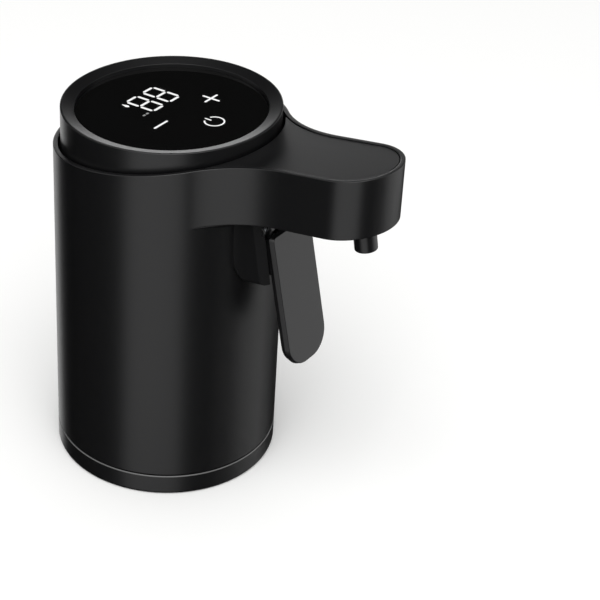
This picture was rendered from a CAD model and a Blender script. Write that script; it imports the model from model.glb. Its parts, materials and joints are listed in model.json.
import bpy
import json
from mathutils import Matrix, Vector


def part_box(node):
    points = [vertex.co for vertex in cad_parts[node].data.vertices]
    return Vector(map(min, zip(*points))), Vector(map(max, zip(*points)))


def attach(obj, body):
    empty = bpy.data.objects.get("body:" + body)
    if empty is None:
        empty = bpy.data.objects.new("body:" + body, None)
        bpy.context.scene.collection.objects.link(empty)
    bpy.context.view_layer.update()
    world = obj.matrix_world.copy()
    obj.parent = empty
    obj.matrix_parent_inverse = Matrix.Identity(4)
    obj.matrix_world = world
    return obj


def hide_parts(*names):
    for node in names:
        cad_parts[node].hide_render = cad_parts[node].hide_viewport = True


bl_info = {
    "name": "Bottle top dispenser",
    "version": (1, 0, 0),
    "blender": (4, 5, 0),
    "location": "View3D > Sidebar > Dispenser",
    "description": "Builds the looks of a bottle top dispenser on its measured frame",
    "category": "Object",
}

import json
import math

import bmesh
import bpy
import numpy as np
from bpy.props import FloatProperty, FloatVectorProperty, PointerProperty, StringProperty
from bpy.types import Operator, Panel, PropertyGroup
from mathutils import Matrix

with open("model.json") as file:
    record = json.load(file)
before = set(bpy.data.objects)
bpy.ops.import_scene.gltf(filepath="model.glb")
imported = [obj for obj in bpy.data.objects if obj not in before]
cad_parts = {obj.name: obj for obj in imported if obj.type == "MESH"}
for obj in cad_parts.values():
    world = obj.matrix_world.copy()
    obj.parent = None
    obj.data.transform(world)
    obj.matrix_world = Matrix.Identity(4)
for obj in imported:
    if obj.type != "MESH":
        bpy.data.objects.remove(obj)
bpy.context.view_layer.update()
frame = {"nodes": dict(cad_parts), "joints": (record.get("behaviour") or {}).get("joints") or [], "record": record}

MM = 0.001
shell_low, shell_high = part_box("outer_shell")
joints = {joint["name"]: joint for joint in frame["joints"]}
# The switch's plunger slides along the slope of the arm's top
top_slope = math.asin(-joints["plunger_slide"]["axis"][2])
rim_level = shell_high.z - shell_high.x * math.tan(top_slope)


# Settings

def length(name, description, default):
    """A length in metres."""
    return FloatProperty(name=name, description=description, default=default, unit="LENGTH", precision=5)


def angle(name, description, degrees):
    """An angle, given in degrees."""
    return FloatProperty(name=name, description=description, default=math.radians(degrees),
                         subtype="ANGLE", unit="ROTATION")


def shade(name, description, default):
    """A colour, given as a hex code."""
    return StringProperty(name=name, description=description, default=default)


class DispenserSizes(PropertyGroup):
    body_r: length("Body radius", "Outer radius of the round body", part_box("base_ring")[1].x)
    arm_w: length("Arm width", "Width of the pouring arm", 28 * MM)
    arm_reach: length("Arm reach", "From the body's axis to the arm's tip", shell_high.x)
    arm_depth: length("Arm depth", "From the slanted top to the arm's underside", 18.4 * MM)
    blend_r: length("Blend radius", "Hollow curve between body and arm", 34 * MM)
    rim_w: length("Rim width", "Width of the land round the top", 1.4 * MM)
    wall: length("Wall", "Thickness of the shell", 2 * MM)
    cove: length("Cove", "Hollow corner under the arm, against the body", 2.8 * MM)
    soft_edge: length("Soft edge", "Rounding of moulded outer edges", 0.5 * MM)
    fine_edge: length("Fine edge", "Rounding of rims and small edges", 0.25 * MM)
    parting: length("Parting gap", "Dark gap between shell and base", 0.45 * MM)
    cover_gap: length("Cover gap", "Gap round the arm's cover", 0.25 * MM)
    cover_drop: length("Cover drop", "How far the cover lies under the rim", 0.2 * MM)
    cover_t: length("Cover thickness", "Thickness of the arm's cover", 1.9 * MM)
    dish: length("Dish", "How far the head falls in to the glass", 0.95 * MM)
    head_land: length("Head land", "Width of the level land outside the head's slope", 0.6 * MM)
    head_edge: length("Head edge", "Rounding of the head's outer edge", 0.22 * MM)
    head_swell: length("Head swell", "How far the ring stands out round its measured wall", 0.3 * MM)
    head_lift: length("Head lift", "How far the ring stands over its level seat", 0.75 * MM)
    head_lean: angle("Head lean", "How far the head's top rises towards the arm", 2.1)
    glass_swell: length("Glass swell", "How far the glass reaches past its measured edge", 0.5 * MM)
    glass_sink: length("Glass sink", "How far the glass lies under its level top", 0.25 * MM)
    paddle_l: length("Paddle length", "From the top of the plate to its round end", 43 * MM)
    paddle_t: length("Paddle thickness", "Thickness of the plate", 3.2 * MM)
    paddle_lean: angle("Paddle lean", "How far the plate leans out from the lever behind it", 2.2)
    paddle_corner: length("Paddle corner", "Radius of the two lower corners", 8 * MM)
    bracket_h: length("Bracket height", "From the arm's underside to the bracket's lower edge", 21.1 * MM)
    bracket_root: length("Bracket root", "How far the bracket reaches into the body", 8.2 * MM)
    bracket_corner: length("Bracket corner", "Radius of the bracket's corners against the body", 4.8 * MM)
    digit_h: length("Digit height", "Height of a lit digit", 10.95 * MM)
    digit_w: length("Digit width", "Width of a lit digit", 5.75 * MM)
    stroke: length("Stroke", "Width of a lit stroke", 0.85 * MM)


class DispenserLooks(PropertyGroup):
    abs_black: shade("ABS", "Satin black ABS of the housing", "#0e0e0f")
    rubbed: shade("Rubbed edge", "Paler upper edge of the base ring", "#5c5c5c")
    glass_black: shade("Glass", "Back-printed black glass", "#0b0b0b")
    lit: shade("Lit marks", "White light of the digits and touch marks", "#ffffff")
    steel: shade("Steel", "Zinc-plated steel of screws, pin and spring", "#b9bcc0")
    nylon: shade("Nylon", "Glass-filled nylon of the inner frame", "#2a2c2f")
    acetal: shade("Acetal", "White acetal of the pump", "#e6e4dc")
    silicone: shade("Silicone", "Food-grade silicone of hoses and stopper", "#cfd2cd")


class DispenserStage(PropertyGroup):
    camera_place: FloatVectorProperty(
        name="Camera place", description="Where the camera stands",
        default=(302.26 * MM, -398.84 * MM, 377.29 * MM), subtype="TRANSLATION", unit="LENGTH")
    azimuth: angle("Azimuth", "How far the view is turned from looking along +Y", 32.44)
    elevation: angle("Elevation", "How far the view looks down", 33.06)
    roll: angle("Roll", "How far the picture is turned about the line of sight", 3.55)
    lens: FloatProperty(
        name="Lens", description="Focal length on a 36 mm sensor", default=114.08, unit="CAMERA")
    floor_size: length("Floor", "Side of the pale floor", 12.0)
    ambient: FloatProperty(name="Ambient", description="Soft light all round", default=0.8, subtype="FACTOR")
    key_power: FloatProperty(name="Key", description="Power of the softbox", default=6.5, unit="POWER")


def settings_of(context):
    """The sizes and the looks of a scene."""
    return context.scene.dispenser_sizes, context.scene.dispenser_looks


# Colour and nodes

# Most of a noise's values lie between these two
NOISE_SPAN = (0.3, 0.7)


def linear(code):
    """Turns an sRGB hex code into a linear RGBA colour."""
    part = np.array([int(code[i:i + 2], 16) for i in (1, 3, 5)]) / 255
    dark = part / 12.92
    bright = ((part + 0.055) / 1.055) ** 2.4
    return (*np.where(part <= 0.04045, dark, bright), 1.0)


def add(tree, kind, *ordered, settings=None, numbered=None, **named):
    """Adds one node, sets its fields, and joins or sets its sockets by order, by number or by name."""
    node = tree.nodes.new(kind)
    for field, value in (settings or {}).items():
        setattr(node, field, value)
    pairs = list(zip(node.inputs, ordered))
    pairs += [(node.inputs[number], value) for number, value in (numbered or {}).items()]
    pairs += [(node.inputs[name.replace("_", " ")], value) for name, value in named.items()]
    for socket, value in pairs:
        if isinstance(value, bpy.types.NodeSocket):
            tree.links.new(value, socket)
        else:
            socket.default_value = value
    return node


def new_material(name):
    """An empty node material and its tree."""
    material = bpy.data.materials.new(name)
    material.use_nodes = True
    material.node_tree.nodes.clear()
    return material, material.node_tree


def speckle(tree, size, detail=2.0):
    """Noise in object space whose lumps are about as big as the given length."""
    place = add(tree, "ShaderNodeTexCoord").outputs["Object"]
    return add(tree, "ShaderNodeTexNoise", Vector=place, Scale=1 / size, Detail=detail).outputs["Fac"]


def close(material, tree, pattern, rough, **sockets):
    """Ends a material in a principled shader whose roughness follows a pattern between two values."""
    gloss = add(tree, "ShaderNodeMapRange", pattern, *NOISE_SPAN, *rough)
    shader = add(tree, "ShaderNodeBsdfPrincipled", Roughness=gloss.outputs[0], **sockets)
    add(tree, "ShaderNodeOutputMaterial", Surface=shader.outputs[0])
    return material


def mottled(name, code, lump, rough, detail=2.0, **sockets):
    """A material of one colour whose roughness runs between two values in lumps of one size."""
    material, tree = new_material(name)
    return close(material, tree, speckle(tree, lump, detail), rough, Base_Color=linear(code), **sockets)


def shining(name, code, lump, strength):
    """A material that only gives off light, whose strength runs between two values in lumps of one size."""
    material, tree = new_material(name)
    power = add(tree, "ShaderNodeMapRange", speckle(tree, lump), *NOISE_SPAN, *strength)
    glow = add(tree, "ShaderNodeEmission", Color=linear(code), Strength=power.outputs[0])
    add(tree, "ShaderNodeOutputMaterial", Surface=glow.outputs[0])
    return material


# Materials

# Coarser than a real moulded grain, which would be too fine to show
ABS_GRAIN = 0.35 * MM
ABS_ROUGH = (0.29, 0.35)


def moulded_abs(looks):
    """Satin black ABS: a fine moulded grain keeps its highlights broad and soft."""
    material, tree = new_material("moulded_abs")
    grain = speckle(tree, ABS_GRAIN)
    bump = add(tree, "ShaderNodeBump", Strength=0.05, Distance=0.02 * MM, Height=grain)
    return close(material, tree, grain, ABS_ROUGH, Base_Color=linear(looks.abs_black), Normal=bump.outputs[0])


def burnished_abs(looks):
    """The same ABS with its upper edge rubbed pale: a thin bright line under the parting gap."""
    material, tree = new_material("burnished_abs")
    place = add(tree, "ShaderNodeTexCoord").outputs["Object"]
    height = add(tree, "ShaderNodeSeparateXYZ", place).outputs["Z"]
    middle, half = shell_low.z - 0.23 * MM, 0.17 * MM
    rubbed = add(tree, "ShaderNodeMath", height, middle, half, settings={"operation": "COMPARE"}).outputs[0]
    tint = add(tree, "ShaderNodeMix", settings={"data_type": "RGBA"},
               numbered={0: rubbed, 6: linear(looks.abs_black), 7: linear(looks.rubbed)})
    return close(material, tree, speckle(tree, ABS_GRAIN), ABS_ROUGH, Base_Color=tint.outputs[2])


def display_glass(looks):
    """Back-printed black glass: near mirror, with a faint haze where fingers touch it."""
    return mottled("back_printed_glass", looks.glass_black, lump=9 * MM, rough=(0.05, 0.09))


def lit_marks(looks):
    """White light through the print: even, with a slight fall-off between its lamps."""
    return shining("lit_print", looks.lit, lump=4 * MM, strength=(0.92, 1.0))


def dim_marks(looks):
    """The same print with its lamp turned low."""
    return shining("dim_print", looks.lit, lump=2 * MM, strength=(0.25, 0.4))


def plated_steel(looks):
    """Zinc-plated steel: bright metal with cloudy gloss."""
    return mottled("plated_steel", looks.steel, lump=1.2 * MM, rough=(0.22, 0.34), detail=4.0, Metallic=1.0)


def turned_aluminium(looks):
    """Turned aluminium: rings left by the tool."""
    material, tree = new_material("turned_aluminium")
    place = add(tree, "ShaderNodeTexCoord").outputs["Object"]
    rings = add(tree, "ShaderNodeTexWave", settings={"wave_type": "RINGS", "rings_direction": "Z"},
                Vector=place, Scale=1 / (6 * MM), Distortion=0.4).outputs["Fac"]
    return close(material, tree, rings, (0.25, 0.38), Base_Color=linear("#c9cbcd"), Metallic=1.0)


def filled_nylon(looks):
    """Glass-filled nylon: dark and dull, with short pale fibres in its skin."""
    material, tree = new_material("glass_filled_nylon")
    fibre = speckle(tree, 0.6 * MM, detail=5.0)
    share = add(tree, "ShaderNodeMapRange", fibre, *NOISE_SPAN, 0.0, 0.25).outputs[0]
    tint = add(tree, "ShaderNodeMix", settings={"data_type": "RGBA"},
               numbered={0: share, 6: linear(looks.nylon), 7: linear("#45484c")})
    return close(material, tree, fibre, (0.5, 0.62), Base_Color=tint.outputs[2])


def white_acetal(looks):
    """White acetal: waxy, with a soft sheen."""
    return mottled("white_acetal", looks.acetal, lump=2.5 * MM, rough=(0.3, 0.42))


def clear_silicone(looks):
    """Milky silicone rubber: lets some light through and looks soft."""
    return mottled("food_silicone", looks.silicone, lump=3 * MM, rough=(0.38, 0.5),
                   Transmission_Weight=0.25, IOR=1.42)


def clear_polycarbonate(looks):
    """Clear polycarbonate: glassy, with a faint flow haze."""
    return mottled("clear_polycarbonate", "#e8eef0", lump=5 * MM, rough=(0.05, 0.12),
                   Transmission_Weight=0.9, IOR=1.58)


def black_nitrile(looks):
    """Black nitrile rubber: matt, with a dusty bloom."""
    return mottled("black_nitrile", "#161617", lump=1.5 * MM, rough=(0.65, 0.8))


def solder_mask(looks):
    """Green solder mask over copper tracks, which show as paler bands."""
    material, tree = new_material("solder_mask")
    place = add(tree, "ShaderNodeTexCoord").outputs["Object"]
    tracks = add(tree, "ShaderNodeTexBrick", Vector=place, Scale=1 / (4 * MM),
                 Color1=linear("#0f4a2a"), Color2=linear("#124f2d"), Mortar=linear("#2b7a4a"))
    shader = add(tree, "ShaderNodeBsdfPrincipled", Base_Color=tracks.outputs["Color"], Roughness=0.35)
    add(tree, "ShaderNodeOutputMaterial", Surface=shader.outputs[0])
    return material


def flat_ribbon(looks):
    """Flat cable: thin dark lines between pale wires."""
    material, tree = new_material("flat_ribbon")
    place = add(tree, "ShaderNodeTexCoord").outputs["Object"]
    wires = add(tree, "ShaderNodeTexWave", settings={"bands_direction": "Y"},
                Vector=place, Scale=1 / (3 * MM)).outputs["Fac"]
    tint = add(tree, "ShaderNodeMix", settings={"data_type": "RGBA"},
               numbered={0: wires, 6: linear("#a8abad"), 7: linear("#d8d9d6")})
    shader = add(tree, "ShaderNodeBsdfPrincipled", Base_Color=tint.outputs[2], Roughness=0.45)
    add(tree, "ShaderNodeOutputMaterial", Surface=shader.outputs[0])
    return material


def cell_film(looks):
    """Blue shrink film round the cell: glossy, with slight ripples."""
    material, tree = new_material("shrink_film")
    ripple = speckle(tree, 6 * MM)
    bump = add(tree, "ShaderNodeBump", Strength=0.2, Distance=0.2 * MM, Height=ripple)
    return close(material, tree, ripple, (0.22, 0.32), Base_Color=linear("#2d5c9e"), Normal=bump.outputs[0])


def red_thermoplastic(looks):
    """Red plastic of the switch: plain and slightly dull."""
    return mottled("red_thermoplastic", "#8c221e", lump=0.8 * MM, rough=(0.4, 0.5))


slot_names = {}
finishes = {
    "satin_black": moulded_abs,
    "black_glass": display_glass,
    "black_rubber": black_nitrile,
    "dark_plastic": filled_nylon,
    "white_plastic": white_acetal,
    "silicone": clear_silicone,
    "clear_plastic": clear_polycarbonate,
    "board_green": solder_mask,
    "ribbon": flat_ribbon,
    "steel": plated_steel,
    "rotor_metal": turned_aluminium,
    "cell_film": cell_film,
    "switch_red": red_thermoplastic,
}


def finish_of(slot, looks):
    """The material of a slot, made once."""
    made = bpy.data.materials.get(slot_names.get(slot, ""))
    if made is None:
        made = finishes[slot](looks)
        slot_names[slot] = made.name
    return made


# Surfaces

def lattice(points, loop_rows=False, loop_columns=True):
    """Joins each point of a grid to the next along its row and its column."""
    rows, columns = points.shape[:2]
    index = np.arange(rows * columns).reshape(rows, columns)
    if loop_rows:
        index = np.concatenate([index, index[:1]], axis=0)
    if loop_columns:
        index = np.concatenate([index, index[:, :1]], axis=1)
    return np.stack([index[:-1, :-1], index[:-1, 1:], index[1:, 1:], index[1:, :-1]], axis=-1)


def sheet(points, loop_rows=False, loop_columns=True):
    """A grid as one surface: its points, its quads and no lids."""
    return points.reshape(-1, 3), lattice(points, loop_rows, loop_columns).reshape(-1, 4), []


def chain(line, runs):
    """Rows of points that pass from line to line, and where each run begins.

    A run (count, end) is straight: start + t (end - start). A run (count, corner, end) is a curve that leaves
    its start and reaches its end along the lines to the corner: (1 - t)^2, 2 t (1 - t) and t^2 of the three.
    """
    rows, begins = [line[None]], [0]
    for count, *corner, end in runs:
        t = np.linspace(0, 1, count)[1:, None, None]
        if corner:
            rows.append((1 - t) ** 2 * line + 2 * t * (1 - t) * corner[0] + t ** 2 * end)
        else:
            rows.append(line + t * (end - line))
        begins.append(begins[-1] + count - 1)
        line = end
    return np.concatenate(rows), begins


def arc(centre, radius, start, end, count, side=1.0):
    """Points at centre + radius * (cos a, sin a), a from start to just before end, and their outward ways."""
    turn = np.linspace(start, end, count, endpoint=False)
    way = np.column_stack([np.cos(turn), np.sin(turn)])
    return np.asarray(centre) + radius * way, side * way


def rounded(corners, steps=6):
    """A polygon's outline with round corners (x, y, radius), anticlockwise, and its outward directions."""
    spots = np.array(corners, dtype=float)
    points, ways = [], []
    for (x, y, radius), before, after in zip(spots, np.roll(spots, 1, axis=0), np.roll(spots, -1, axis=0)):
        spot = np.array([x, y])
        back = (before[:2] - spot) / np.linalg.norm(before[:2] - spot)
        on = (after[:2] - spot) / np.linalg.norm(after[:2] - spot)
        half = math.acos(np.clip(back @ on, -1, 1)) / 2
        middle = spot + (back + on) / np.linalg.norm(back + on) * radius / math.sin(half)
        first = spot + back * radius / math.tan(half) - middle
        bend = math.copysign(math.pi - 2 * half, back[1] * on[0] - back[0] * on[1])
        turn = math.atan2(first[1], first[0]) + np.linspace(0, bend, steps + 1)
        way = np.column_stack([np.cos(turn), np.sin(turn)])
        points.append(middle + radius * way)
        ways.append(way * math.copysign(1, bend))
    return np.concatenate(points), np.concatenate(ways)


def turned(profile, count=128):
    """A closed profile of (radius, height) turned about the upright axis."""
    turn = np.linspace(0, 2 * math.pi, count, endpoint=False)
    radius, height = profile[:, :1], profile[:, 1:]
    return np.stack([radius * np.cos(turn), radius * np.sin(turn), height + 0 * turn], axis=-1)


def slab(outline, stations):
    """An outline drawn along an axis: for each station (along, inset) one ring, drawn in by the inset."""
    points, ways = outline
    return np.stack([np.column_stack([points - inset * ways, np.full(len(points), along)])
                     for along, inset in stations])


def lidded(rings):
    """A run of rings as one closed surface, with a flat lid on both ends."""
    count = rings.shape[1]
    last = len(rings) * count - count
    return rings.reshape(-1, 3), lattice(rings).reshape(-1, 4), [np.arange(count), last + np.arange(count)]


def eased(low, high, low_edge, high_edge, steps=5):
    """Stations from low to high with a quarter-round edge at both ends."""
    turn = np.linspace(0, math.pi / 2, steps)
    start = [(low + low_edge * (1 - math.sin(t)), low_edge * (1 - math.cos(t))) for t in turn[::-1]]
    end = [(high - high_edge * (1 - math.sin(t)), high_edge * (1 - math.cos(t))) for t in turn]
    return start + end


def in_arm(across, down, along):
    """Places (y, z', x') of the arm's slanted frame in the world."""
    x = along * math.cos(top_slope) - down * math.sin(top_slope)
    z = rim_level + along * math.sin(top_slope) + down * math.cos(top_slope)
    return np.stack([x, across, z], axis=-1)


def from_front(rings):
    """Rings of (y, z', x'), an outline seen from the front, in the world."""
    return in_arm(rings[..., 0], rings[..., 1], rings[..., 2])


def from_side(rings):
    """Rings of (x', z', y), an outline seen from the side, in the world."""
    return in_arm(rings[..., 2], rings[..., 1], rings[..., 0])


def pivoted(profile, along, down, count=40):
    """A closed profile of (radius, y) turned about a level axis at (x', z') of the arm's frame."""
    rings = turned(profile, count)
    return in_arm(rings[..., 2], down + rings[..., 1], along + rings[..., 0])


def piece(name, parts, looks, slot, replaced=(), body="housing", material=None):
    """Joins surfaces into one object that rides on a body, in its slot's finish or a material of its own."""
    merge_gap, sharp = 1e-7, math.radians(30)
    starts = np.cumsum([0] + [len(part[0]) for part in parts])
    faces = []
    for start, (points, quads, lids) in zip(starts, parts):
        faces += (quads + start).tolist() + [(lid + start).tolist() for lid in lids]
    mesh = bpy.data.meshes.new(name)
    mesh.from_pydata(np.concatenate([part[0] for part in parts]).tolist(), [], faces)
    work = bmesh.new()
    work.from_mesh(mesh)
    bmesh.ops.remove_doubles(work, verts=work.verts, dist=merge_gap)
    bmesh.ops.recalc_face_normals(work, faces=work.faces)
    work.to_mesh(mesh)
    work.free()
    mesh.shade_smooth()
    mesh.set_sharp_from_angle(angle=sharp)
    mesh.materials.append(material or finish_of(slot, looks))
    obj = bpy.data.objects.new(name, mesh)
    bpy.context.scene.collection.objects.link(obj)
    weighted = obj.modifiers.new("face weighted normals", "WEIGHTED_NORMAL")
    weighted.keep_sharp = True
    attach(obj, body)
    if replaced:
        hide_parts(*replaced)


# Shell

BACK_COLUMNS = 200
BLEND_COLUMNS = 30
SIDE_COLUMNS = 8
TIP_COLUMNS = 56


def keyhole(size):
    """The outline in plan: a round body, a hollow blend, a straight side, a round tip, and the same back."""
    arm_r = size.arm_w / 2
    tip_x = size.arm_reach - arm_r
    side_y = arm_r + size.blend_r
    side_x = math.sqrt((size.body_r + size.blend_r) ** 2 - side_y ** 2)
    lean = math.atan2(side_y, side_x)
    near = np.linspace(side_x, tip_x, SIDE_COLUMNS, endpoint=False)
    far = np.linspace(tip_x, side_x, SIDE_COLUMNS, endpoint=False)
    level = np.full(SIDE_COLUMNS, arm_r)
    runs = [
        arc((0, 0), size.body_r, lean, 2 * math.pi - lean, BACK_COLUMNS),
        arc((side_x, -side_y), size.blend_r, math.pi - lean, math.pi / 2, BLEND_COLUMNS, side=-1),
        (np.column_stack([near, -level]), np.tile([0.0, -1.0], (SIDE_COLUMNS, 1))),
        arc((tip_x, 0), arm_r, -math.pi / 2, math.pi / 2, TIP_COLUMNS),
        (np.column_stack([far, level]), np.tile([0.0, 1.0], (SIDE_COLUMNS, 1))),
        arc((side_x, side_y), size.blend_r, 1.5 * math.pi, math.pi + lean, BLEND_COLUMNS, side=-1),
    ]
    return np.concatenate([points for points, ways in runs]), np.concatenate([ways for points, ways in runs])


def on_plane(plan, depth=0.0):
    """Plan points lifted to the slanted top, or to a plane at a depth under it."""
    height = rim_level + plan[:, 0] * math.tan(top_slope) - depth / math.cos(top_slope)
    return np.column_stack([plan, height])


def at_level(plan, height):
    """Plan points at one height."""
    return np.column_stack([plan, np.full(len(plan), height)])


def lifted(points, rise):
    """Points moved straight up, each by its own amount or all by the same."""
    return points + np.column_stack([np.zeros((len(points), 2)), np.broadcast_to(rise, len(points))])


def port_reach(across, up, half, radius):
    """The share of a ray (across, up) that lies inside a slot with round ends."""
    size = np.hypot(across, up)
    c, s = np.abs(across) / size, np.abs(up) / size
    tiny = 1e-9
    flat = radius / np.maximum(s, tiny)
    end = half * c + np.sqrt(np.maximum(radius ** 2 - (half * s) ** 2, 0))
    return np.where(flat * c <= half, flat, end) / size


class DISPENSER_OT_shell(Operator):
    """Makes the one-piece shell: body, pouring arm, slanted rim and the charging port's slot"""
    bl_idname = "dispenser.shell"
    bl_label = "Shell"

    def execute(self, context):
        size, looks = settings_of(context)
        edge, fine = size.soft_edge, size.fine_edge
        port_low, port_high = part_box("usb_socket")
        port_z = (port_low.z + port_high.z) / 2
        port_room, ease = 4 * MM, 0.4 * MM
        foot_z = shell_low.z + size.parting
        plan, ways = keyhole(size)
        reach = np.linalg.norm(plan, axis=1, keepdims=True)
        out = plan / reach
        gap = reach - size.body_r
        share = np.clip(gap / (size.cove + edge), 0, 1)
        cove, lip = size.cove * share, edge * share
        loose = (ease * (1 - share))[:, 0]
        foot = size.body_r * out
        inner_foot = (size.body_r - size.rim_w) * out
        inner = plan - size.rim_w * ways
        under = size.arm_depth
        cove_low = lifted(on_plane(foot, under), -cove[:, 0] - loose)
        cove_high = lifted(on_plane(foot + cove * out, under), -loose / 3)
        lip_low = lifted(on_plane(plan - lip * out, under), loose / 3)
        lip_high = lifted(on_plane(plan, under), lip[:, 0] + loose)
        rim = on_plane(plan)
        inner_rim = on_plane(inner)
        floor_out = lifted(on_plane(inner, under - size.wall), loose)
        floor_in = lifted(on_plane(inner_foot, under - size.wall), -loose)
        port_foot, port_top = port_z - port_room, port_z + port_room
        rows, begins = chain(at_level(foot - fine * out, foot_z), [
            (6, at_level(foot, foot_z), at_level(foot, foot_z + fine)),
            (4, at_level(foot, port_foot)),
            (9, at_level(foot, port_top)),
            (14, cove_low),
            (9, lifted(on_plane(foot, under), -loose * 2 / 3), cove_high),
            (6, lip_low),
            (6, lifted(on_plane(plan, under), loose * 2 / 3), lip_high),
            (8, lifted(rim, -fine)),
            (6, rim, on_plane(plan - fine * ways)),
            (3, on_plane(plan - (size.rim_w - fine) * ways)),
            (6, inner_rim, lifted(inner_rim, -fine)),
            (6, floor_out),
            (5, floor_in),
            (8, at_level(inner_foot, port_top)),
            (9, at_level(inner_foot, port_foot)),
            (4, at_level(inner_foot, foot_z)),
        ])
        quads = lattice(rows, loop_rows=True)
        # The port's window cuts these two runs
        outer_band, inner_band = 2, 14
        middle, half = BACK_COLUMNS // 2, 9
        window = slice(middle - half, middle + half)
        kept = np.ones(quads.shape[:2], dtype=bool)
        for band in (outer_band, inner_band):
            kept[begins[band]:begins[band + 1], window] = False
        skin = (rows.reshape(-1, 3), quads[kept], [])
        port = self.port(size, rows, begins[outer_band], begins[outer_band + 1], middle, half, port_z)
        piece("shell_skin", [skin, port], looks, "satin_black", ["outer_shell"])
        return {"FINISHED"}

    def port(self, size, rows, low, high, middle, half, port_z):
        """The slot's walls: rings that pass from the window's edge to the slot, through it and back out."""
        left, right = middle - half, middle + half
        border = np.concatenate([rows[low, left:right], rows[low:high, right],
                                 rows[high, right:left:-1], rows[high:low:-1, left]])
        turn = np.arctan2(-border[:, 1], -border[:, 0])
        rise = border[:, 2] - port_z
        slip = 0.3 * MM
        plug_low, plug_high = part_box("usb_socket")
        radius = (plug_high.z - plug_low.z) / 2 + slip
        width = plug_high.y + slip - radius
        share = port_reach(turn * size.body_r, rise, width, radius)
        outer_r, inner_r, fine = size.body_r, size.body_r - size.rim_w, size.fine_edge
        wide = share * (radius + fine) / radius
        stations = [(np.ones_like(share), outer_r), ((1 + wide) / 2, outer_r), (wide, outer_r),
                    ((wide + share) / 2, outer_r - fine / 3), (share, outer_r - fine), (share, inner_r),
                    ((1 + share) / 2, inner_r), (np.ones_like(share), inner_r)]
        rings = [np.column_stack([-r * np.cos(part * turn), -r * np.sin(part * turn), port_z + part * rise])
                 for part, r in stations]
        return sheet(np.stack(rings))


class DISPENSER_OT_cover(Operator):
    """Makes the flat cover let into the arm's top, cut round the head"""
    bl_idname = "dispenser.cover"
    bl_label = "Arm cover"

    def execute(self, context):
        size, looks = settings_of(context)
        plan, ways = keyhole(size)
        rim = plan - (size.rim_w + size.cover_gap) * ways
        well = size.body_r - size.rim_w
        reach = np.linalg.norm(rim, axis=1)
        blunt = 0.3 * MM
        shown = reach > well + blunt
        rim, out = rim[shown], (rim / reach[:, None])[shown]
        root = well * out
        fine = np.minimum(size.fine_edge, (reach[shown] - well) / 3)[:, None]
        top, low = size.cover_drop, size.cover_drop + size.cover_t
        root_top, rim_top = on_plane(root, top), on_plane(rim, top)
        rows = chain(lifted(root_top, -fine[:, 0]), [
            (6, root_top, on_plane(root + fine * out, top)),
            (8, on_plane(rim - fine * out, top)),
            (6, rim_top, lifted(rim_top, -fine[:, 0])),
            (3, on_plane(rim, low)),
            (3, on_plane(root, low)),
        ])[0]
        columns = rows.shape[1]
        points, quads = sheet(rows, loop_rows=True, loop_columns=False)[:2]
        ends = [np.arange(len(rows)) * columns, np.arange(len(rows)) * columns + columns - 1]
        plate = (points, quads, ends)
        piece("cover_plate", [plate], looks, "satin_black", ["arm_cover"])
        return {"FINISHED"}


# Head and display

def leaning(parts, size, low, high, lift):
    """Parts raised by a lift and by the head's lean along x: not at a low level, in full from a high one."""
    placed = []
    for points, quads, lids in parts:
        share = np.clip((points[:, 2] - low) / (high - low), 0, 1)
        placed.append((lifted(points, share * (lift + points[:, 0] * math.tan(size.head_lean))), quads, lids))
    return placed


class DISPENSER_OT_head(Operator):
    """Makes the head: a round ring that slopes in to the glass and steps down to it"""
    bl_idname = "dispenser.head"
    bl_label = "Head ring"

    def execute(self, context):
        size, looks = settings_of(context)
        head_low, head_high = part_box("head_cap")
        glass_low, glass_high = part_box("display_glass")
        glass_r, head_r = glass_high.x + size.glass_swell, size.head_swell - head_low.x
        seat, ledge, ledge_w, ledge_t = 0.05 * MM, 0.4 * MM, 1.6 * MM, 1.9 * MM
        crease, lip = head_r - size.head_land, head_high.z - size.dish
        ledge_r, ledge_z = glass_r - ledge_w, glass_low.z - ledge
        skirt = head_r - size.wall
        fine = size.fine_edge
        corners = [
            (head_r, head_low.z, fine), (head_r, head_high.z, size.head_edge), (crease, head_high.z, fine),
            (glass_r + seat, lip, 2 * seat), (glass_r + seat, ledge_z, seat), (ledge_r, ledge_z, fine),
            (ledge_r, ledge_z - ledge_t, fine), (skirt, ledge_z - ledge_t, fine), (skirt, head_low.z, fine)]
        ring = sheet(turned(rounded(corners)[0], 192), loop_rows=True)
        parts = leaning([ring], size, glass_low.z, lip - fine, size.head_lift)
        piece("head_ring", parts, looks, "satin_black", ["head_cap"])
        return {"FINISHED"}


def bar(span, width, round_end=True):
    """A stroke's outline: round ends, or the pointed ends of a digit's segment."""
    half, wide = span / 2, width / 2
    nearly, tip = 0.98 * wide, 0.08 * MM
    if round_end:
        return rounded([(half, -wide, nearly), (half, wide, nearly),
                        (-half, wide, nearly), (-half, -wide, nearly)])
    return rounded([(half - wide, -wide, tip), (half, 0, tip), (half - wide, wide, tip),
                    (wide - half, wide, tip), (-half, 0, tip), (wide - half, -wide, tip)], steps=2)


def raised(outline, centre, upright, level, height):
    """A flat mark on the glass: an outline, upright or not, centred at (right, up) of the reading frame."""
    points, ways = outline
    if upright:
        points, ways = points[:, ::-1] * [-1, 1], ways[:, ::-1] * [-1, 1]
    rings = slab((points + np.asarray(centre), ways), [(level, 0.0), (level + height, 0.0)])
    return np.stack([-rings[..., 1], rings[..., 0], rings[..., 2]], axis=-1)


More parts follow.
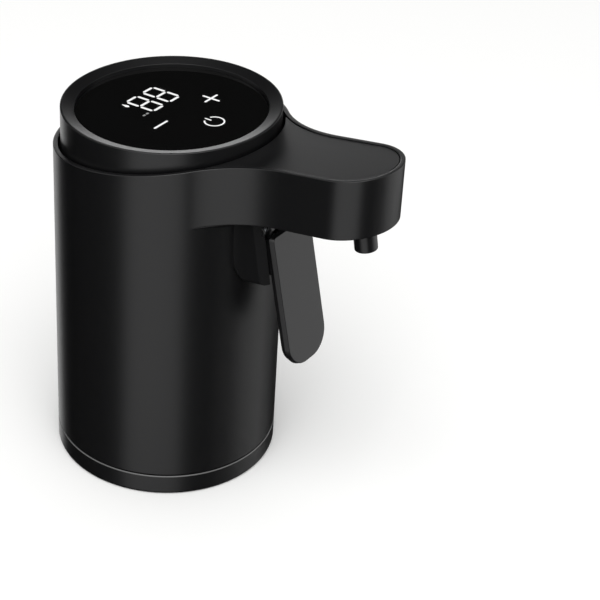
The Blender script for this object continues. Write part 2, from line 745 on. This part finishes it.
class DISPENSER_OT_display(Operator):
    """Makes the black glass, two lit digits and the lit touch marks"""
    bl_idname = "dispenser.display"
    bl_label = "Display"

    def execute(self, context):
        size, looks = settings_of(context)
        low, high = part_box("display_glass")
        fine, rim = size.fine_edge / 2, high.x + size.glass_swell
        profile = np.array([(0, low.z), (rim - fine, low.z), (rim, low.z + fine), (rim, high.z - fine),
                            (rim - fine, high.z), (rim - 2 * fine, high.z), (rim / 2, high.z), (0, high.z)])
        disc = [sheet(turned(profile))]
        level, height = high.z, 0.04 * MM
        lit = self.digits(size, level, height) + self.keys(level, height)
        dash, dash_up, dashes = bar(1.1 * MM, 0.7 * MM), 3.8 * MM, (-8.3 * MM, -6.8 * MM)
        dim = [lidded(raised(dash, (place, dash_up), False, level, height)) for place in dashes]
        disc, lit, dim = [leaning(parts, size, low.z, high.z, -size.glass_sink) for parts in (disc, lit, dim)]
        piece("glass_disc", disc, looks, "black_glass", ["display_glass"])
        piece("lit_marks", lit, looks, "black_glass", material=lit_marks(looks))
        piece("dim_mark", dim, looks, "black_glass", material=dim_marks(looks))
        return {"FINISHED"}

    def digits(self, size, level, height):
        """Two digits of seven pointed segments each."""
        wide, tall, stroke = size.digit_w - size.stroke, size.digit_h - size.stroke, size.stroke
        room = 0.6 * MM
        flat = bar(wide - room, stroke, round_end=False)
        upright = bar(tall / 2 - room, stroke, round_end=False)
        middle, first, pitch = 8.42 * MM, -2.1 * MM, 7.7 * MM
        marks = []
        for place in (first, first + pitch):
            spots = [(flat, place, middle + step * tall / 2, False) for step in (-1, 0, 1)]
            spots += [(upright, place + side * wide / 2, middle + step * tall / 4, True)
                      for side in (-1, 1) for step in (-1, 1)]
            marks += [lidded(raised(shape, (right, up), turn, level, height))
                      for shape, right, up, turn in spots]
        return marks

    def keys(self, level, height):
        """Plus, minus, a drop, and a ring broken by a bar."""
        plus, minus, drop = (12.5 * MM, -5.1 * MM), (-10.15 * MM, -3.8 * MM), (-6.6 * MM, 12 * MM)
        ring, ring_r, ring_w, opening = np.array([0.85, -14.95]) * MM, 2.9 * MM, 0.5 * MM, math.radians(28)
        bar_drop = 0.6 * MM
        bar_at = ring + [0, ring_r - bar_drop]
        drop_w, drop_low, drop_top, drop_r, drop_tip = 0.9 * MM, -1.2 * MM, 1.7 * MM, 0.85 * MM, 0.1 * MM
        drop_shape = rounded([(drop_w, drop_low, drop_r), (0, drop_top, drop_tip),
                              (-drop_w, drop_low, drop_r)])
        stroke, ring_bar = bar(6.3 * MM, 0.72 * MM), bar(2.4 * MM, ring_w)
        spots = [(stroke, plus, False), (stroke, plus, True), (stroke, minus, False),
                 (ring_bar, bar_at, True), (drop_shape, drop, False)]
        parts = [lidded(raised(shape, place, upright, level, height)) for shape, place, upright in spots]
        turn = np.linspace(math.pi / 2 + opening, 2.5 * math.pi - opening, 64)[:, None]
        section = np.array([(-1, 0), (1, 0), (1, 1), (-1, 1)])
        radius = ring_r + section[:, 0] * ring_w / 2
        hoop = np.stack([-ring[1] - radius * np.sin(turn), ring[0] + radius * np.cos(turn),
                         level + height * section[:, 1] + 0 * turn], axis=-1)
        parts.append(lidded(hoop))
        return parts


# Base

class DISPENSER_OT_base(Operator):
    """Makes the base ring, whose upper edge catches the light under the parting gap"""
    bl_idname = "dispenser.base"
    bl_label = "Base ring"

    def execute(self, context):
        size, looks = settings_of(context)
        low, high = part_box("base_ring")
        slip, flange_z, flange_t, ledge_w, ledge_h = 0.3 * MM, 1.4 * MM, 1.8 * MM, 4.9 * MM, 4.8 * MM
        spigot = size.body_r - size.wall - slip
        spigot_in = spigot - size.wall
        ledge_r, ledge_low = spigot_in - ledge_w, flange_z + flange_t
        ledge_high = ledge_low + ledge_h
        fine, foot_edge, chamfer = size.fine_edge, 1 * MM, 0.4 * MM
        corners = [
            (spigot_in, low.z, fine), (size.body_r, low.z, foot_edge), (size.body_r, shell_low.z, chamfer),
            (spigot, shell_low.z, fine), (spigot, high.z, fine), (spigot_in, high.z, fine),
            (spigot_in, ledge_high, fine), (ledge_r, ledge_high, fine), (ledge_r, ledge_low, fine),
            (spigot_in, ledge_low, fine)]
        skin = sheet(turned(rounded(corners)[0], 192), loop_rows=True)
        piece("base_skin", [skin], looks, "satin_black", ["base_ring"], material=burnished_abs(looks))
        return {"FINISHED"}


# Trigger and nozzle

class DISPENSER_OT_trigger(Operator):
    """Makes the bracket under the arm, the hinged paddle with its knuckles, and the hinge pin"""
    bl_idname = "dispenser.trigger"
    bl_label = "Trigger"

    def execute(self, context):
        size, looks = settings_of(context)
        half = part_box("trigger_paddle")[1].y
        pin_x, pin_z = self.pin()
        bracket = self.bracket(size, half, pin_x, pin_z)
        piece("bracket_skin", bracket, looks, "satin_black", ["trigger_bracket"])
        paddle = self.paddle(size, half, pin_x, pin_z)
        piece("paddle_skin", paddle, looks, "satin_black", ["trigger_paddle"], body="trigger")
        pin = self.hinge_pin(half, pin_x, pin_z)
        piece("pin_steel", pin, looks, "steel", ["hinge_pin"])
        return {"FINISHED"}

    def pin(self):
        """The hinge pin's place (x', z') in the arm's frame."""
        x, y, z = joints["trigger_pivot"]["pos_m"]
        rise = z - rim_level
        return (x * math.cos(top_slope) + rise * math.sin(top_slope),
                rise * math.cos(top_slope) - x * math.sin(top_slope))

    def hinge_pin(self, half, pin_x, pin_z):
        """A turned pin whose blunt ends stop inside the bosses."""
        low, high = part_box("hinge_pin")
        radius, past, blunt = (high.x - low.x) / 2, 1.3 * MM, 0.15 * MM
        reach = half + past
        profile = rounded([(0, -reach, 0), (radius, -reach, blunt), (radius, reach, blunt), (0, reach, 0)])[0]
        return [sheet(pivoted(profile, pin_x, pin_z))]

    def bracket(self, size, half, pin_x, pin_z):
        """A block, round against the body, with two cheeks that hold the pin and narrow to the front."""
        block_sink, cheek_rise, paddle_gap, overlap = 1.4 * MM, 3.3 * MM, 0.7 * MM, 0.2 * MM
        top, bottom = -size.arm_depth, -size.arm_depth - size.bracket_h
        rear, front, cheek_x = size.body_r - np.array([size.bracket_root, block_sink, -cheek_rise])
        outer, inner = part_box("trigger_bracket")[1].y, half + paddle_gap
        fine, side_edge, blunt = size.fine_edge, 1.5 * MM, 1.7 * MM
        past = cheek_x + 2 * blunt
        outline = rounded([(rear, bottom, size.bracket_corner), (past, bottom, blunt), (past, top, blunt),
                           (rear, top, size.bracket_corner)], steps=12)
        core = (np.column_stack([np.minimum(outline[0][:, 0], front), outline[0][:, 1]]), outline[1])
        parts = [lidded(from_side(slab(core, [(-inner - overlap, 0), (inner + overlap, 0)])))]
        hole, nose, boss_t, hole_edge, slant = 0.9 * MM, 1.8 * MM, 0.8 * MM, 0.1 * MM, 0.8
        for side in (-1, 1):
            low, high = sorted((side * inner, side * outer))
            edges = (side_edge, fine) if side < 0 else (fine, side_edge)
            rings = slab(outline, eased(low, high, *edges))
            rings[..., 0] = np.minimum(rings[..., 0], cheek_x - slant * (np.abs(rings[..., 2]) - inner))
            parts.append(lidded(from_side(rings)))
            foot, tip = side * inner, side * (inner + boss_t)
            boss = rounded([(hole, foot, hole_edge), (nose, foot, fine),
                            (nose, tip, fine), (hole, tip, hole_edge)])[0]
            parts.append(sheet(pivoted(boss, pin_x, pin_z), loop_rows=True))
        return parts

    def paddle(self, size, half, pin_x, pin_z):
        """A plate with two round corners, a lever behind it and two knuckles on the pin."""
        drop, lip_h, lever_l, hang_drop = 7.2 * MM, 1.2 * MM, 11.4 * MM, 11 * MM
        face_rise, lever_rise, waist_t, flare = 6.2 * MM, 0.7 * MM, 1.8 * MM, 0.4 * MM
        draft, taper = 0.25, 0.38
        top = -size.arm_depth - drop
        end, lip, lever_low, hang = top - size.paddle_l, top + lip_h, top - lever_l, top - hang_drop
        face, lever_back = size.body_r + face_rise, size.body_r + lever_rise
        back = face - size.paddle_t
        waist, wide = back + waist_t, half + flare
        edge, fine, corner = size.soft_edge, size.fine_edge, size.paddle_corner
        plate = rounded([(-wide, end, corner), (wide, end, corner),
                         (wide, lip, 3 * edge), (-wide, lip, 3 * edge)], steps=12)
        stations = eased(back, face, fine, fine)
        stations.insert(len(stations) // 2, (waist, 0))
        sides = [(along, inset + draft * max(0, along - waist) + taper * max(0, waist - along))
                 for along, inset in stations]
        lever = rounded([(-half, lever_low, edge), (half, lever_low, edge),
                         (half, top, edge), (-half, top, edge)])
        rings = slab(plate, sides)
        rings[..., 2] += (hang - rings[..., 1]) * math.tan(size.paddle_lean)
        parts = [lidded(from_front(rings)),
                 lidded(from_front(slab(lever, eased(lever_back, waist, fine, fine))))]
        hole, knuckle, hole_edge = 1.35 * MM, 2.5 * MM, 0.05 * MM
        set_in, knuckle_w = 1.1 * MM, 1.8 * MM
        neck_low, neck_high = top - 1 * MM, pin_z - 2 * MM
        for side in (-1, 1):
            outer, inner = side * (half - set_in), side * (half - set_in - knuckle_w)
            profile = rounded([(hole, inner, hole_edge), (knuckle, inner, fine),
                               (knuckle, outer, fine), (hole, outer, hole_edge)])[0]
            parts.append(sheet(pivoted(profile, pin_x, pin_z), loop_rows=True))
            left, right = sorted((outer, inner))
            neck = rounded([(left, neck_low, fine), (right, neck_low, fine),
                            (right, neck_high, fine), (left, neck_high, fine)])
            parts.append(lidded(from_front(slab(neck, eased(lever_back, waist, fine, fine)))))
        return parts


class DISPENSER_OT_nozzle(Operator):
    """Makes the short pouring tube under the arm's tip"""
    bl_idname = "dispenser.nozzle"
    bl_label = "Nozzle"

    def execute(self, context):
        size, looks = settings_of(context)
        inset, drop, radius, bore = 11.7 * MM, 8.5 * MM, 3.4 * MM, 2 * MM
        along = size.arm_reach - inset
        tip, root = -size.arm_depth - drop, -size.arm_depth + size.wall
        profile = rounded([(bore, tip, size.fine_edge), (radius, tip, size.soft_edge),
                           (radius, root, size.fine_edge), (bore, root, size.fine_edge)])[0]
        rings = turned(profile, 64)
        spout = in_arm(rings[..., 1], rings[..., 2], along + rings[..., 0])
        skin = sheet(spout, loop_rows=True)
        piece("nozzle_tube", [skin], looks, "satin_black", ["nozzle"])
        return {"FINISHED"}


class DISPENSER_OT_inner(Operator):
    """Gives every piece that keeps its measured shape the material of its slot"""
    bl_idname = "dispenser.inner"
    bl_label = "Inner pieces"

    def execute(self, context):
        looks = context.scene.dispenser_looks
        for entry in frame["record"]["subparts"]:
            mesh = frame["nodes"][entry["node"]].data
            mesh.materials.clear()
            mesh.materials.append(finish_of(entry["material_slot"], looks))
        return {"FINISHED"}


# Stage

def outward(azimuth, elevation):
    """The way out from the object at an azimuth, turned from -Y towards +X, and an elevation, in radians."""
    level, up = np.cos(elevation), np.sin(elevation)
    return np.stack([level * np.sin(azimuth), -level * np.cos(azimuth), up + 0 * azimuth], axis=-1)


def aimed(name, data, place, azimuth, elevation, roll=0.0):
    """An object at a place that looks back along the way out, turned about its line of sight by a roll."""
    away = outward(azimuth, elevation)
    level = np.array([math.cos(azimuth), math.sin(azimuth), 0.0])
    right = math.cos(roll) * level + math.sin(roll) * np.cross(away, level)
    matrix = np.eye(4)
    matrix[:3, :3] = np.column_stack([right, np.cross(away, right), away])
    matrix[:3, 3] = place
    obj = bpy.data.objects.new(name, data)
    obj.matrix_world = Matrix(matrix.tolist())
    bpy.context.scene.collection.objects.link(obj)
    return obj


def backdrop(name, points, faces, material, unseen_by):
    """A stage mesh in one material, which the named kinds of ray don't see."""
    mesh = bpy.data.meshes.new(name)
    mesh.from_pydata(points, [], faces)
    mesh.materials.append(material)
    obj = bpy.data.objects.new(name, mesh)
    bpy.context.scene.collection.objects.link(obj)
    for ray in unseen_by:
        setattr(obj, "visible_" + ray, False)


def plain(name, code, glow=None):
    """A stage material of one colour, dull or giving off light."""
    material, tree = new_material(name)
    if glow:
        shader = add(tree, "ShaderNodeEmission", Color=linear(code), Strength=glow)
    else:
        shader = add(tree, "ShaderNodeBsdfDiffuse", Color=linear(code))
    add(tree, "ShaderNodeOutputMaterial", Surface=shader.outputs[0])
    return material


def flag(name, azimuths, elevations, material):
    """A card, part of a sphere round the object, that only reflections see."""
    distance = 2.0
    turn = np.radians(np.linspace(*azimuths, 24))
    lift = np.radians(np.linspace(*elevations, 16))[:, None]
    points, quads = sheet(distance * outward(turn, lift), loop_columns=False)[:2]
    unseen_by = ["camera", "diffuse", "transmission", "shadow"]
    backdrop(name, points.tolist(), quads.tolist(), material, unseen_by)


class DISPENSER_OT_stage(Operator):
    """Makes the camera, the pale floor, the softbox, the cards that reflections show, and the surround"""
    bl_idname = "dispenser.stage"
    bl_label = "Stage"

    def execute(self, context):
        stage = context.scene.dispenser_stage
        self.camera(context, stage)
        self.floor(stage)
        self.surround(context, stage)
        self.softbox(stage)
        black, dim = plain("black_card", "#020202"), plain("dim_card", "#7f7f7f")
        pale, lit = plain("pale_card", "#d2d2d2"), plain("lit_card", "#ffffff", glow=3.4)
        facing, foot = math.degrees(stage.azimuth), -42.5
        cards = [
            ("left_flag", black, (-138, -39), (foot, 10)),
            ("right_flag", black, (19, 54), (foot, 10)),
            ("near_card", dim, (54, 78), (foot, 10)),
            ("middle_card", pale, (78, 122), (foot, -25)),
            ("far_card", dim, (122, 138), (foot, -25)),
            ("far_flag", black, (138, 185), (foot, -6)),
            ("low_flag", black, (-180, 180), (-85, foot)),
            ("rear_flag", black, (115, 245), (13, 62)),
            ("side_flag", black, (204, 245), (-4, 13)),
            ("rear_strip", lit, (158, 204), (-4, 8)),
        ]
        for name, material, turns, lifts in cards:
            flag(name, [facing + turn for turn in turns], lifts, material)
        context.scene.view_settings.view_transform = "Standard"
        return {"FINISHED"}

    def camera(self, context, stage):
        """The camera at its measured place, turned and tilted to the view."""
        data = bpy.data.cameras.new("camera")
        data.lens = stage.lens
        view = (stage.azimuth, stage.elevation, stage.roll)
        context.scene.camera = aimed("camera", data, stage.camera_place, *view)

    def floor(self, stage):
        """A square pale floor, which reflections don't show."""
        half = stage.floor_size / 2
        corners = [(-half, -half, 0), (half, -half, 0), (half, half, 0), (-half, half, 0)]
        backdrop("floor", corners, [(0, 1, 2, 3)], plain("pale_floor", "#f6f6f5"), ["glossy"])

    def softbox(self, stage):
        """A square lamp on the camera's side that looks down at the object's middle."""
        side, distance, lift, middle = 0.8, 1.0, math.radians(60), np.array([0.02, 0.0, 0.06])
        data = bpy.data.lights.new("key_softbox", "AREA")
        data.size = side
        data.energy = stage.key_power
        place = middle + distance * outward(stage.azimuth, lift)
        aimed("key_softbox", data, place, stage.azimuth, lift)

    def surround(self, context, stage):
        """White where the camera, gloss or glass looks out, and a softer light elsewhere."""
        world = bpy.data.worlds.new("surround")
        world.use_nodes = True
        tree = world.node_tree
        tree.nodes.clear()
        rays = add(tree, "ShaderNodeLightPath").outputs
        seen = rays["Is Camera Ray"]
        for kind in ("Is Glossy Ray", "Is Transmission Ray"):
            seen = add(tree, "ShaderNodeMath", seen, rays[kind], settings={"operation": "MAXIMUM"}).outputs[0]
        white = add(tree, "ShaderNodeBackground", Color=(1, 1, 1, 1), Strength=1.0)
        soft = add(tree, "ShaderNodeBackground", Color=(1, 1, 1, 1), Strength=stage.ambient)
        both = add(tree, "ShaderNodeMixShader", seen, soft.outputs[0], white.outputs[0])
        add(tree, "ShaderNodeOutputWorld", Surface=both.outputs[0])
        context.scene.world = world


class DISPENSER_PT_sidebar(Panel):
    """Lists the steps in the order in which they build the object"""
    bl_idname = "DISPENSER_PT_sidebar"
    bl_label = "Dispenser"
    bl_space_type = "VIEW_3D"
    bl_region_type = "UI"
    bl_category = "Dispenser"

    def draw(self, context):
        for step in steps:
            self.layout.operator(step.bl_idname)


steps = [DISPENSER_OT_shell, DISPENSER_OT_cover, DISPENSER_OT_head, DISPENSER_OT_display, DISPENSER_OT_base,
         DISPENSER_OT_trigger, DISPENSER_OT_nozzle, DISPENSER_OT_inner, DISPENSER_OT_stage]
groups = [DispenserSizes, DispenserLooks, DispenserStage]


def register():
    for part in [*groups, *steps, DISPENSER_PT_sidebar]:
        bpy.utils.register_class(part)
    bpy.types.Scene.dispenser_sizes = PointerProperty(type=DispenserSizes)
    bpy.types.Scene.dispenser_looks = PointerProperty(type=DispenserLooks)
    bpy.types.Scene.dispenser_stage = PointerProperty(type=DispenserStage)


def unregister():
    del bpy.types.Scene.dispenser_stage
    del bpy.types.Scene.dispenser_looks
    del bpy.types.Scene.dispenser_sizes
    for part in reversed([*groups, *steps, DISPENSER_PT_sidebar]):
        bpy.utils.unregister_class(part)


def main():
    register()
    bpy.ops.dispenser.shell()
    bpy.ops.dispenser.cover()
    bpy.ops.dispenser.head()
    bpy.ops.dispenser.display()
    bpy.ops.dispenser.base()
    bpy.ops.dispenser.trigger()
    bpy.ops.dispenser.nozzle()
    bpy.ops.dispenser.inner()
    bpy.ops.dispenser.stage()


if __name__ == "__main__":
    main()
